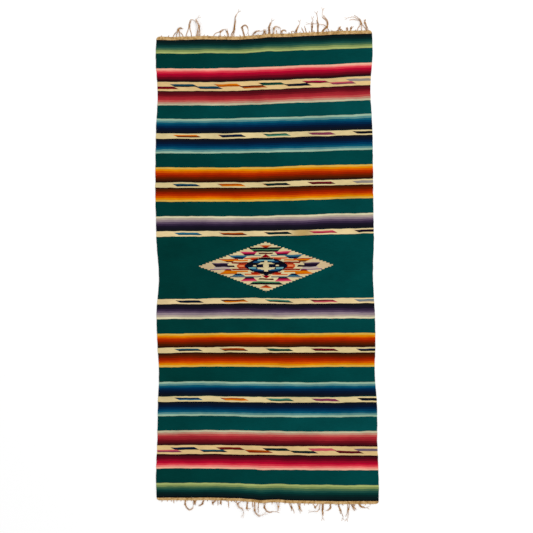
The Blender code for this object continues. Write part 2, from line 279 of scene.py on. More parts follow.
def make_web():
    """The web, rounded over at its rims and thicker along its selvedges."""
    share = edge_stops(CELL, LOOM_WIDTH) / LOOM_WIDTH * 2 - 1
    stops = edge_stops(CELL, 2 * WEB_HALF) - WEB_HALF
    across, woven = np.meshgrid(share, stops, indexing="ij")
    x, y = lay(across, woven)
    from_side = (1 - np.abs(across)) * LOOM_WIDTH / 2
    from_end = WEB_HALF - np.abs(woven)
    half = WALL / 2 * round_over(from_side, WALL) * round_over(from_end, WALL)
    cord = SELVEDGE_CORD * np.exp(-((from_side - SELVEDGE_PLACE) / SELVEDGE_REACH) ** 2)
    across = uneven_selvedges(across, woven)
    middle = lift(x, woven) + swell(x, y) * ease(from_end / SWELL_START) + WALL / 2
    uneven = pucker(x, y) * ease(from_side / PUCKER_START) * ease(from_end / PUCKER_START)
    high = middle + half + (cord + uneven) * (half / (WALL / 2))
    return cloth_wall("woven_cloth", across, woven, middle - half, high)


def linear(code):
    """An sRGB hex value as the linear colour that a shader takes."""
    parts = [int(code[k:k + 2], 16) / 255 for k in (1, 3, 5)]
    return [p / 12.92 if p <= 0.04045 else ((p + 0.055) / 1.055) ** 2.4 for p in parts] + [1.0]


def add_node(tree, kind, inputs, out=0, stops=(), **settings):
    """Add a node with its settings, links and ramp stops, and return one of its outputs."""
    node = tree.nodes.new(kind)
    for name, value in settings.items():
        setattr(node, name, value)
    for place, value in inputs.items():
        if isinstance(value, bpy.types.NodeSocket):
            tree.links.new(value, node.inputs[place])
        else:
            node.inputs[place].default_value = value
    for k, (place, colour) in enumerate(stops):
        if k < 2:
            node.color_ramp.elements[k].position = place
            node.color_ramp.elements[k].color = colour
        else:
            node.color_ramp.elements.new(place).color = colour
    return node.outputs[out]


# The dyed yarns, named as a weaver would ask for them
YARNS = {
    "ground green": "#003733",
    "paler green": "#084A4B",
    "cream": "#DDC894",
    "warm cream": "#E5CD9B",
    "tan cream": "#E0C088",
    "diamond cream": "#D8C698",
    "diamond pink": "#CAB089",
    "stain": "#BE9A5A",
    "black": "#0E0B14",
    "ink": "#0A1222",
    "night blue": "#080E24",
    "navy": "#0A1838",
    "blue": "#1A4A70",
    "teal": "#22607C",
    "dull teal": "#1E4C5C",
    "slate": "#4E7280",
    "dull slate": "#4A5A68",
    "pale blue": "#6FA4A8",
    "bottle green": "#0A2822",
    "fir green": "#1C4C3C",
    "leaf green": "#487C56",
    "sea green": "#44806A",
    "oxblood": "#7C1812",
    "maroon": "#4A1214",
    "wine": "#640C1E",
    "brick": "#A02414",
    "red": "#8A1018",
    "rust": "#C2501F",
    "brown": "#A84A12",
    "orange": "#D2700A",
    "salmon": "#C85A34",
    "peach": "#E08C5E",
    "pink": "#CE4C68",
    "old rose": "#C4565E",
    "crimson": "#A01A40",
    "plum": "#7C344E",
    "aubergine": "#1C1024",
    "mauve": "#6E5A6A",
    "lavender": "#B2A29C",
    "violet": "#6A4A7A",
    "grey": "#8C847E",
}

# The graded bands. A weaver winds eight shades of one colour and weaves an equal stretch of each, from
# light to dark or back again. half is the half of the cloth, 1 for the top one, and start and end are
# where a band lies out from the middle, in millimetres, like all the places in the pattern.
PURPLES = ("#D8D0AC", "#B0A193", "#8F7E85", "#58475D", "#33263D", "#1C1626", "#16141F", "#15141A")
ORANGES = ("#DAAE50", "#E08809", "#D25505", "#B22E04", "#941F04", "#6B1D04", "#4A1B08", "#2B1109")
BLUES = ("#9CB8A0", "#598A89", "#10546B", "#063959", "#042543", "#08172F", "#0B1424", "#11131C")
INNER_REDS = ("#C2BA9A", "#BE8A76", "#BE554F", "#A82F37", "#97282F", "#701720", "#55131A", "#370E13")
OUTER_REDS = ("#EEB096", "#EE7E78", "#D63D4B", "#B51A34", "#95182B", "#690F1E", "#4B1019", "#2C0B10")
LIMES = ("#A6B26E", "#83935A", "#46694A", "#1E4C42", "#0A3632", "#072625", "#0A1D1E", "#0B1114")
Band = namedtuple("Band", "half start end shades")
BANDS = (
    Band(1, 166.6, 234.0, PURPLES[::-1]),
    Band(1, 300.6, 366.8, ORANGES),
    Band(1, 390.8, 456.8, ORANGES[::-1]),
    Band(1, 522.0, 590.7, BLUES),
    Band(1, 614.7, 680.6, BLUES[::-1]),
    Band(1, 744.2, 812.2, INNER_REDS),
    Band(1, 852.2, 915.0, OUTER_REDS[::-1]),
    Band(1, 984.4, 1053.0, LIMES),
    Band(-1, 166.6, 236.0, PURPLES[::-1]),
    Band(-1, 304.0, 366.8, ORANGES),
    Band(-1, 390.8, 458.4, ORANGES[::-1]),
    Band(-1, 523.7, 590.7, BLUES),
    Band(-1, 614.7, 681.4, BLUES[::-1]),
    Band(-1, 747.0, 812.2, INNER_REDS),
    Band(-1, 852.2, 920.0, OUTER_REDS[::-1]),
    Band(-1, 984.8, 1053.0, LIMES),
)
Stripe = namedtuple("Stripe", "middle half yarn")
STRIPES = (
    Stripe(154.6, 12.0, "warm cream"),
    Stripe(378.8, 12.0, "cream"),
    Stripe(602.7, 12.0, "cream"),
    Stripe(832.2, 20.0, "tan cream"),
)

# The dashes in the cream stripes, which lean down to the right. Each is wound in two yarns, the upper
# one named first, and start is the upper left corner of the row's first dash.
DASH_LENGTH = 108.0
DASH_HEIGHT = 11.4
DASH_SLANT = 24.0
DashRow = namedtuple("DashRow", "middle start period dashes")
DASH_ROWS = (
    DashRow(837.4, -438, 204.0, (
        ("dull teal", "ink"), ("orange", "brown"), ("bottle green", "fir green"),
        ("crimson", "wine"), ("grey", "grey"))),
    DashRow(826.8, -527, 206.0, (
        ("wine", "oxblood"), ("dull teal", "navy"), ("maroon", "brown"),
        ("ink", "ink"), ("old rose", "plum"))),
    DashRow(602.7, -418, 205.0, (
        ("orange", "maroon"), ("navy", "ink"), ("fir green", "sea green"),
        ("plum", "plum"), ("black", "black"))),
    DashRow(378.8, -419, 204.4, (
        ("dull teal", "navy"), ("brown", "orange"), ("bottle green", "ink"),
        ("wine", "maroon"), ("grey", "grey"))),
    DashRow(154.6, -416, 205.0, (
        ("teal", "dull teal"), ("brown", "maroon"), ("ink", "bottle green"),
        ("old rose", "crimson"), ("aubergine", "black"))),
    DashRow(-154.6, -413, 204.0, (
        ("ink", "ink"), ("maroon", "orange"), ("sea green", "bottle green"),
        ("wine", "old rose"), ("slate", "grey"))),
    DashRow(-378.8, -420, 206.5, (
        ("dull teal", "ink"), ("brown", "maroon"), ("fir green", "bottle green"),
        ("wine", "maroon"), ("navy", "black"))),
    DashRow(-602.7, -422, 206.5, (
        ("navy", "teal"), ("brown", "orange"), ("sea green", "fir green"),
        ("plum", "plum"), ("black", "ink"))),
    DashRow(-827.2, -436, 205.5, (
        ("navy", "ink"), ("oxblood", "maroon"), ("ink", "bottle green"),
        ("old rose", "old rose"), ("mauve", "mauve"))),
    DashRow(-837.8, -511, 203.0, (
        ("old rose", "plum"), ("dull teal", "ink"), ("brown", "oxblood"),
        ("bottle green", "ink"), ("wine", "maroon"))),
)

# The diamond's chart, in millimetres from its own middle. Its edge steps in every few weft lines, and
# its cream turns pinker outward between two distances. A patch lies between two heights, low and high,
# and between an inner and an outer distance on each side, given at its low and at its high edge.
DIAMOND_MIDDLE = (0.8, 4.4)
DIAMOND_WIDEST = 1.6
DIAMOND_HALF_WIDTH = 312.0
DIAMOND_TOP = 111.2
DIAMOND_BOTTOM = -115.0
DIAMOND_STEP = 5.6
DIAMOND_PINK = (120.0, 300.0)
PATCH_STEP = 2.8
Patch = namedtuple("Patch", "low high inner_low outer_low inner_high outer_high yarn")
PATCHES = (
    Patch(84.4, 90.5, -1, 4, -1, 17, "red"),
    Patch(90.5, 96, -1, 17, -1, 29, "rust"),
    Patch(78.6, 86.2, -1, 70, -1, 80, "black"),
    Patch(74, 78.6, -1, 62, -1, 70, "leaf green"),
    Patch(66, 74, -1, 52, -1, 62, "black"),
    Patch(62, 67, 44, 111, 39, 119, "pink"),
    Patch(56.6, 62, 49, 104, 44, 111, "crimson"),
    Patch(50.4, 56.6, 53, 96, 49, 104, "black"),
    Patch(55.6, 61.8, -1, 30, -1, 35, "maroon"),
    Patch(47.8, 51.4, 23, 170, 23, 170, "slate"),
    Patch(43.4, 47.8, 92, 160, 86, 165, "teal"),
    Patch(34.6, 43.4, 106, 142, 92, 160, "navy"),
    Patch(40.6, 55, -1, 21, -1, 2, "red"),
    Patch(34, 40, 40, 99, 14, 99, "salmon"),
    Patch(28.4, 34, 44, 72, 20, 68, "brick"),
    Patch(31, 34.4, 127, 216, 127, 216, "brick"),
    Patch(24.4, 31, 83, 196, 83, 208, "orange"),
    Patch(19, 24.4, 156, 180, 146, 192, "maroon"),
    Patch(13, 19.8, 80, 156, 84, 160, "oxblood"),
    Patch(12, 16, 170, 246, 170, 250, "mauve"),
    Patch(-3.6, 12, 176, 231, 176, 248, "aubergine"),
    Patch(-3.6, 4.4, 143, 176, 148, 176, "aubergine"),
    Patch(-10.6, -3.6, 168, 240, 168, 240, "lavender"),
    Patch(-16.6, -12.6, 160, 258, 160, 258, "violet"),
    Patch(8, 12.8, 86, 130, 90, 126, "brick"),
    Patch(-5, 8, 96, 134, 96, 134, "salmon"),
    Patch(-2.4, 5, 102, 124, 102, 124, "peach"),
    Patch(-11, -5, 76, 126, 76, 130, "brick"),
    Patch(29, 40, -1, 56, -1, 14, "black"),
    Patch(17, 29, -1, 84, -1, 56, "night blue"),
    Patch(6, 17, -1, 97, -1, 84, "black"),
    Patch(-4, 6, -1, 98, -1, 98, "night blue"),
    Patch(-14, -4, -1, 84, -1, 97, "night blue"),
    Patch(-25, -14, -1, 62, -1, 84, "night blue"),
    Patch(-37, -25, -1, 14, -1, 62, "black"),
    Patch(-43, -37, -1, 6, -1, 14, "night blue"),
    Patch(23, 29, -1, 40, -1, 36, "pale blue"),
    Patch(17, 23, 26, 62, 22, 50, "blue"),
    Patch(-12, -5, 46, 78, 46, 82, "pale blue"),
    Patch(-20, -12, 13, 58, 13, 70, "blue"),
    Patch(-23, 26, -1, 9, -1, 7, "diamond cream"),
    Patch(9, 16.6, -1, 40, -1, 24, "diamond cream"),
    Patch(-5, 8, -1, 13, -1, 13, "diamond cream"),
    Patch(-12.6, -6, -1, 36, -1, 44, "diamond cream"),
    Patch(-16, -13, -1, 20, -1, 38, "diamond cream"),
    Patch(-0.6, 5.4, 44, 60, 46, 58, "diamond cream"),
    Patch(-18.4, -11.6, 78, 154, 84, 160, "oxblood"),
    Patch(-21, -15.4, 156, 194, 164, 184, "oxblood"),
    Patch(-27.4, -21, 84, 200, 84, 190, "orange"),
    Patch(-34, -27.4, 134, 214, 134, 204, "orange"),
    Patch(-36.4, -34, 134, 216, 134, 216, "brown"),
    Patch(-35.6, -27.6, 20, 68, 44, 72, "brick"),
    Patch(-40.6, -35.6, 14, 99, 40, 99, "salmon"),
    Patch(-55, -43, -1, 2, -1, 21, "red"),
    Patch(-40.6, -34, 106, 150, 118, 138, "navy"),
    Patch(-46, -40.6, 98, 158, 106, 150, "teal"),
    Patch(-51.4, -46.4, 23, 168, 23, 168, "dull slate"),
    Patch(-57, -51, 54, 102, 58, 96, "black"),
    Patch(-62.4, -57, 48, 110, 54, 104, "crimson"),
    Patch(-69, -62.4, 41, 121, 46, 112, "pink"),
    Patch(-63, -56.4, -1, 36, -1, 32, "maroon"),
    Patch(-76.6, -70.6, -1, 68, -1, 60, "leaf green"),
    Patch(-85.2, -76.6, -1, 80, -1, 68, "black"),
    Patch(-94, -87, -1, 17, -1, 3, "red"),
    Patch(-100, -94, -1, 29, -1, 18, "rust"),
)


def patch_group():
    """A group that lays one mirrored patch of yarn over the colour below it."""
    group = bpy.data.node_groups.new("mirrored patch", "ShaderNodeTree")
    names = ("side", "height", "stepped") + Patch._fields[:-1]
    for name in names:
        group.interface.new_socket(name=name, in_out="INPUT", socket_type="NodeSocketFloat")
    for name in ("below", "yarn"):
        group.interface.new_socket(name=name, in_out="INPUT", socket_type="NodeSocketColor")
    group.interface.new_socket(name="colour", in_out="OUTPUT", socket_type="NodeSocketColor")
    given = group.nodes.new("NodeGroupInput").outputs
    span = {0: given["stepped"], 1: given["low"], 2: given["high"]}
    ends = []
    for name in ("inner", "outer"):
        limits = {3: given[name + "_low"], 4: given[name + "_high"]}
        ends.append(add_node(group, "ShaderNodeMapRange", {**span, **limits}, clamp=False))
    tests = (
        (given["height"], given["low"]),
        (given["high"], given["height"]),
        (given["side"], ends[0]),
        (ends[1], given["side"]),
    )
    inside = 1.0
    for larger, smaller in tests:
        over = add_node(group, "ShaderNodeMath", {0: larger, 1: smaller}, operation="GREATER_THAN")
        inside = add_node(group, "ShaderNodeMath", {0: inside, 1: over}, operation="MULTIPLY")
    colours = {0: inside, 6: given["below"], 7: given["yarn"]}
    mixed = add_node(group, "ShaderNodeMix", colours, out=2, data_type="RGBA")
    result = group.nodes.new("NodeGroupOutput")
    group.links.new(mixed, result.inputs["colour"])
    return group


def lay_band(tree, below, height, band):
    """A graded band over the colour below it."""
    span = {0: height, 1: band.half * band.start, 2: band.half * band.end}
    place = add_node(tree, "ShaderNodeMapRange", span, clamp=False)
    inside = add_node(tree, "ShaderNodeMath", {0: place, 1: 0.5, 2: 0.5}, operation="COMPARE")
    stops = [(k / len(band.shades), linear(code)) for k, code in enumerate(band.shades)]
    shade = add_node(tree, "ShaderNodeValToRGB", {0: place}, stops=stops)
    shade.node.color_ramp.interpolation = "CONSTANT"
    return add_node(tree, "ShaderNodeMix", {0: inside, 6: below, 7: shade}, out=2, data_type="RGBA")


def lay_dashes(tree, below, side, height, row):
    """A row of leaning dashes over the colour below it."""
    inputs = {0: height, 1: row.middle, 2: DASH_HEIGHT / 2}
    in_row = add_node(tree, "ShaderNodeMath", inputs, operation="COMPARE")
    slope = DASH_SLANT / DASH_HEIGHT
    top = row.start + slope * (row.middle + DASH_HEIGHT / 2)
    inputs = {0: height, 1: slope, 2: side}
    leaned = add_node(tree, "ShaderNodeMath", inputs, operation="MULTIPLY_ADD")
    inputs = {0: leaned, 1: top, 2: top + row.period}
    count = add_node(tree, "ShaderNodeMapRange", inputs, clamp=False)
    share = add_node(tree, "ShaderNodeMath", {0: count}, operation="FRACT")
    inputs = {0: share, 1: DASH_LENGTH / row.period}
    in_dash = add_node(tree, "ShaderNodeMath", inputs, operation="LESS_THAN")
    begun = add_node(tree, "ShaderNodeMath", {0: count, 1: 0.0}, operation="GREATER_THAN")
    inside = add_node(tree, "ShaderNodeMath", {0: in_row, 1: in_dash}, operation="MULTIPLY")
    inside = add_node(tree, "ShaderNodeMath", {0: inside, 1: begun}, operation="MULTIPLY")
    many = len(row.dashes)
    place = add_node(tree, "ShaderNodeMath", {0: count, 1: 1 / many}, operation="MULTIPLY")
    shades = []
    for which in (0, 1):
        stops = [(k / many, linear(YARNS[dash[which]])) for k, dash in enumerate(row.dashes)]
        shades.append(add_node(tree, "ShaderNodeValToRGB", {0: place}, stops=stops))
        shades[-1].node.color_ramp.interpolation = "CONSTANT"
    upper = add_node(tree, "ShaderNodeMath", {0: height, 1: row.middle}, operation="GREATER_THAN")
    inputs = {0: upper, 6: shades[1], 7: shades[0]}
    shade = add_node(tree, "ShaderNodeMix", inputs, out=2, data_type="RGBA")
    return add_node(tree, "ShaderNodeMix", {0: inside, 6: below, 7: shade}, out=2, data_type="RGBA")


def lay_diamond(tree, below, side, height):
    """The stepped diamond and its motifs over the colour below it."""
    off = add_node(tree, "ShaderNodeMath", {0: side, 1: DIAMOND_MIDDLE[0]}, operation="SUBTRACT")
    off = add_node(tree, "ShaderNodeMath", {0: off}, operation="ABSOLUTE")
    height = add_node(tree, "ShaderNodeMath", {0: height, 1: DIAMOND_MIDDLE[1]}, operation="SUBTRACT")
    stepped = []
    for step in (DIAMOND_STEP, PATCH_STEP):
        row = add_node(tree, "ShaderNodeMath", {0: height, 1: step}, operation="SNAP")
        stepped.append(add_node(tree, "ShaderNodeMath", {0: row, 1: step / 2}, operation="ADD"))
    widths = []
    for tip in (DIAMOND_TOP, DIAMOND_BOTTOM):
        inputs = {0: stepped[0], 1: DIAMOND_WIDEST, 2: tip, 3: DIAMOND_HALF_WIDTH, 4: 0.0}
        widths.append(add_node(tree, "ShaderNodeMapRange", inputs, clamp=False))
    width = add_node(tree, "ShaderNodeMath", {0: widths[0], 1: widths[1]}, operation="MINIMUM")
    inside = add_node(tree, "ShaderNodeMath", {0: width, 1: off}, operation="GREATER_THAN")
    inputs = {0: off, 1: DIAMOND_PINK[0], 2: DIAMOND_PINK[1]}
    outward = add_node(tree, "ShaderNodeMapRange", inputs, clamp=False)
    inputs = {0: outward, 6: linear(YARNS["diamond cream"]), 7: linear(YARNS["diamond pink"])}
    field = add_node(tree, "ShaderNodeMix", inputs, out=2, data_type="RGBA")
    colour = add_node(tree, "ShaderNodeMix", {0: inside, 6: below, 7: field}, out=2, data_type="RGBA")
    group = patch_group()
    for patch in PATCHES:
        node = tree.nodes.new("ShaderNodeGroup")
        node.node_tree = group
        for name in Patch._fields[:-1]:
            node.inputs[name].default_value = getattr(patch, name)
        node.inputs["yarn"].default_value = linear(YARNS[patch.yarn])
        sources = {"side": off, "height": height, "stepped": stepped[1], "below": colour}
        for name, source in sources.items():
            tree.links.new(source, node.inputs[name])
        colour = node.outputs["colour"]
    return colour


# Weft-faced churro wool, handspun and vegetable or early synthetic dyed: fully matt, with almost no
# shine, so the darkest yarns stay dark. Each pick takes the dye a little differently.
# Sizes are in millimetres, across and along the cloth. The picks and the ribs of the warps under them
# are drawn at twice their real spacing, so that they show.
PICK = 2.8
STREAK = (26.0, 3.4)
CLOUD = (160.0, 90.0)
RIB = (9.0, 5.6)
RIB_DEPTH = 0.9 * MM

# The shade that the fibres' own shadows leave of a yarn's colour, and how far it varies either way
FIBRE_SHADE = 0.84
WOOL_VARIES = 0.2
WOOL_SATURATION = 1.02

# Where most values of a noise lie
NOISE_LOW = 0.3
NOISE_HIGH = 0.7

# How far the beater has left the weft lines from true, in broad waves and in short ones
Waver = namedtuple("Waver", "across along reach")
WAVERS = (Waver(120.0, 60.0, 1.4), Waver(36.0, 24.0, 0.8))

# The ground grows paler from one place across to another, and more so in a stretch woven from a weaker
# lot
PALER_START = -420.0
PALER_END = 500.0
PALER_MOST = 0.6
WEAK_LOT_MIDDLE = 713.0
WEAK_LOT_HALF = 34.0
WEAK_LOT_FADE = 0.35

# The stain is darkest at one place across the first cream stripe, and gone a reach to either side
STAIN_MIDDLE = 172.0
STAIN_REACH = 64.0
STAIN_STRENGTH = 0.8


def waver(tree, loom, wave):
    """How far off true the weft lines are at each place: smooth noise of one size, either way."""
    spots = add_node(tree, "ShaderNodeMapping", {0: loom, 3: (1 / wave.across, 1 / wave.along, 1.0)})
    spots = add_node(tree, "ShaderNodeTexNoise", {0: spots, 2: 1.0, 3: 1.0})
    inputs = {0: spots, 1: NOISE_LOW, 2: NOISE_HIGH, 3: -wave.reach, 4: wave.reach}
    return add_node(tree, "ShaderNodeMapRange", inputs)


def lay_stain(tree, below, side, height):
    """An old brown stain that has spread along one cream stripe."""
    inputs = {0: side, 1: STAIN_MIDDLE, 2: STAIN_MIDDLE + STAIN_REACH}
    share = add_node(tree, "ShaderNodeMapRange", inputs, clamp=False)
    square = add_node(tree, "ShaderNodeMath", {0: share, 1: share}, operation="MULTIPLY")
    inputs = {0: square, 1: 0.0, 2: 1.0, 3: STAIN_STRENGTH, 4: 0.0}
    amount = add_node(tree, "ShaderNodeMapRange", inputs, clamp=False)
    inputs = {0: height, 1: STRIPES[0].middle, 2: STRIPES[0].half}
    inside = add_node(tree, "ShaderNodeMath", inputs, operation="COMPARE")
    amount = add_node(tree, "ShaderNodeMath", {0: amount, 1: inside}, operation="MULTIPLY")
    inputs = {0: amount, 6: below, 7: linear(YARNS["stain"])}
    return add_node(tree, "ShaderNodeMix", inputs, out=2, data_type="RGBA")


def dye_ground(tree, side, outward):
    """The green of the ground: paler towards the right, and where its dye lot was weaker."""
    inputs = {0: side, 1: PALER_START, 2: PALER_END, 3: 0.0, 4: PALER_MOST}
    paling = add_node(tree, "ShaderNodeMapRange", inputs, clamp=False)
    inputs = {0: outward, 1: WEAK_LOT_MIDDLE, 2: WEAK_LOT_HALF}
    lot = add_node(tree, "ShaderNodeMath", inputs, operation="COMPARE")
    inputs = {0: lot, 1: WEAK_LOT_FADE, 2: paling}
    paling = add_node(tree, "ShaderNodeMath", inputs, operation="MULTIPLY_ADD")
    inputs = {0: paling, 6: linear(YARNS["ground green"]), 7: linear(YARNS["paler green"])}
    return add_node(tree, "ShaderNodeMix", inputs, out=2, data_type="RGBA")


def weave_wool():
    """The dyed wool, with its pattern laid out over the loom in millimetres."""
    material = bpy.data.materials.new("weft_faced_dyed_wool")
    material.use_nodes = True
    tree = material.node_tree
    loom = add_node(tree, "ShaderNodeUVMap", {}, uv_map="weave")
    inputs = {0: loom, 1: (1 / MM, 1 / MM, 0.0)}
    loom = add_node(tree, "ShaderNodeVectorMath", inputs, operation="MULTIPLY")
    side = add_node(tree, "ShaderNodeSeparateXYZ", {0: loom})
    height = side.node.outputs[1]
    for wave in WAVERS:
        inputs = {0: height, 1: waver(tree, loom, wave)}
        height = add_node(tree, "ShaderNodeMath", inputs, operation="ADD")
    pick = add_node(tree, "ShaderNodeMath", {0: height, 1: PICK}, operation="SNAP")
    outward = add_node(tree, "ShaderNodeMath", {0: height}, operation="ABSOLUTE")
    colour = dye_ground(tree, side, outward)
    for band in BANDS:
        colour = lay_band(tree, colour, pick, band)
    for stripe in STRIPES:
        inputs = {0: outward, 1: stripe.middle, 2: stripe.half}
        inside = add_node(tree, "ShaderNodeMath", inputs, operation="COMPARE")
        inputs = {0: inside, 6: colour, 7: linear(YARNS[stripe.yarn])}
        colour = add_node(tree, "ShaderNodeMix", inputs, out=2, data_type="RGBA")
    colour = lay_stain(tree, colour, side, height)
    for row in DASH_ROWS:
        colour = lay_dashes(tree, colour, side, height, row)
    colour = lay_diamond(tree, colour, side, height)
    # each pick is its own length of yarn, lighter or darker than the next, and varies along itself
    streaks = add_node(tree, "ShaderNodeMapping", {0: loom, 3: (1 / STREAK[0], 1 / STREAK[1], 1.0)})
    streaks = add_node(tree, "ShaderNodeTexNoise", {0: streaks, 2: 1.0, 3: 3.0, 4: 0.7})
    clouds = add_node(tree, "ShaderNodeMapping", {0: loom, 3: (1 / CLOUD[0], 1 / CLOUD[1], 1.0)})
    clouds = add_node(tree, "ShaderNodeTexNoise", {0: clouds, 2: 1.0, 3: 2.0})
    both = add_node(tree, "ShaderNodeMath", {0: streaks, 1: clouds}, operation="ADD")
    dark, light = FIBRE_SHADE - WOOL_VARIES, FIBRE_SHADE + WOOL_VARIES
    inputs = {0: both, 1: 2 * NOISE_LOW, 2: 2 * NOISE_HIGH, 3: dark, 4: light}
    value = add_node(tree, "ShaderNodeMapRange", inputs)
    inputs = {1: WOOL_SATURATION, 2: value, 4: colour}
    colour = add_node(tree, "ShaderNodeHueSaturation", inputs)
    shader = tree.nodes["Principled BSDF"]
    tree.links.new(colour, shader.inputs["Base Color"])
    shader.inputs["Roughness"].default_value = 0.95
    shader.inputs["Specular IOR Level"].default_value = 0.02
    # the ribs of the warps under the weft
    grid = add_node(tree, "ShaderNodeMapping", {0: loom, 3: (1 / RIB[0], 1 / RIB[1], 1.0)})
    beads = add_node(tree, "ShaderNodeTexVoronoi", {0: grid, 2: 1.0, 8: 0.25}, voronoi_dimensions="2D")
    inputs = {0: 0.5, 1: RIB_DEPTH, 3: beads}
    normal = add_node(tree, "ShaderNodeBump", inputs, invert=True)
    tree.links.new(normal, shader.inputs["Normal"])
    return material


cloth = make_web()
cloth.data.materials.append(weave_wool())
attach(cloth, "root")
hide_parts("serape_web")


# The headings
# At each end the weaver finished with four thick picks of undyed tan yarn, doubled and beaten up
# close, before the warps were cut and knotted.
SEAM = 0.4 * MM
CORDS = 4
CORD_SAMPLES = 7
HEADING_CELL = 6.0 * MM
CORNER = 13.0 * MM
CORNER_DEPTH = 0.3

# How round each pick's section is, and its half thickness between the picks and what its crown adds,
# as shares of the web's
PICK_ROUND = 0.96
PICK_VALLEY = 0.35
PICK_CROWN = 0.75


def make_heading(name, end):
    """One end's heading: thick picks side by side, just clear of the web."""
    share = edge_stops(HEADING_CELL, LOOM_WIDTH) / LOOM_WIDTH * 2 - 1
    steps = np.arange(CORDS * CORD_SAMPLES + 1) / CORD_SAMPLES
    if end < 0:
        steps = steps[::-1]
    across, steps = np.meshgrid(share, steps, indexing="ij")
    from_side = (1 - np.abs(across)) * LOOM_WIDTH / 2
    depth = (HEADINGS[end] - SEAM) * np.maximum(round_over(from_side, CORNER), CORNER_DEPTH)
    woven = end * (WEB_HALF + SEAM + depth * steps / CORDS)
    x = lay(across, woven)[0]
    crown = np.sqrt(1 - (2 * (steps % 1) - 1) ** 2 * PICK_ROUND)
    half = WALL / 2 * round_over(from_side, WALL) * (PICK_VALLEY + PICK_CROWN * crown)
    middle = lift(x, woven) + WALL / 2
    low = middle - np.minimum(half, WALL / 2)
    return cloth_wall(name, across, woven, low, middle + half)


# Undyed tan churro wool, loosely plied: matt, dry and hairy, and a little lighter on the crowns of its
# twist than between them. The loose ends are browner than the heading.
HEADING_SHADES = ("#8E6A3A", "#B8935E", "#D0AF7E")
FRINGE_SHADES = ("#80562B", "#AE7F4A", "#C69A66")

# A fine and a broad noise are added up, and the fibres go from dark to light between two of their sums
GRAIN_BROADER = 5
GRAIN_LOW = 0.74
GRAIN_HIGH = 1.26
GRAIN_DEPTH = 0.4 * MM


def undyed_wool(name, grain, shades):
    """Tan yarn from its dark fibres to its light ones, drawn with a grain so many millimetres wide."""
    material = bpy.data.materials.new(name)
    material.use_nodes = True
    tree = material.node_tree
    place = add_node(tree, "ShaderNodeTexCoord", {}, out=3)
    fine = add_node(tree, "ShaderNodeTexNoise", {0: place, 2: 1 / (grain * MM), 3: 2.0, 4: 0.6})
    inputs = {0: place, 2: 1 / (GRAIN_BROADER * grain * MM), 3: 1.0}
    broad = add_node(tree, "ShaderNodeTexNoise", inputs)
    both = add_node(tree, "ShaderNodeMath", {0: fine, 1: broad}, operation="ADD")
    place = add_node(tree, "ShaderNodeMapRange", {0: both, 1: GRAIN_LOW, 2: GRAIN_HIGH})
    dark, middle, pale = [linear(code) for code in shades]
    stops = ((0.0, dark), (1.0, pale), (0.5, middle))
    colour = add_node(tree, "ShaderNodeValToRGB", {0: place}, stops=stops)
    shader = tree.nodes["Principled BSDF"]
    tree.links.new(colour, shader.inputs["Base Color"])
    shader.inputs["Roughness"].default_value = 0.95
    shader.inputs["Specular IOR Level"].default_value = 0.05
    normal = add_node(tree, "ShaderNodeBump", {0: 0.4, 1: GRAIN_DEPTH, 3: fine})
    tree.links.new(normal, shader.inputs["Normal"])
    return material


heading_wool = undyed_wool("undyed_wool_heading", grain=3.0, shades=HEADING_SHADES)
for end, side_name in ((1, "top"), (-1, "bottom")):
    heading = make_heading("heading_" + side_name, end)
    heading.data.materials.append(heading_wool)
    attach(heading, "root")
    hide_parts("fringe_" + side_name)


# The fringes
# The warps past each heading, two-ply undyed wool, gathered by hand into locks that are tied in an
# overhand knot and left to felt and curl. Many have worn away to nubs. A lock's other strands keep
# some share of its longest one's tail, and the nubs stand unevenly, some share of their pitch apart.
YARN = 2.4 * MM
YARN_TIP = 1.4 * MM
ROOT_PITCH = 3.1 * MM
KNOT_PITCH = 3.9 * MM
KNOT_SWELL = 1.35
FLOOR_GAP = 0.5 * MM
LANE = 3.6 * MM
STEM_STEPS = 3
TAIL_STEPS = 6
LEAN_AT_ROOT = 0.3
WAVE = 9.0
TAIL_SHARES = (0.55, 0.9)
NUB_PITCH = 24.0 * MM
NUB_SPACING = (0.7, 1.3)
NUB_LAST = 0.8
NUB_CLEAR = 6.0 * MM
NUB_SHORTEST = 3.5 * MM
NUB_LONGEST = 9.0 * MM
NUB_LEAN = 35.0

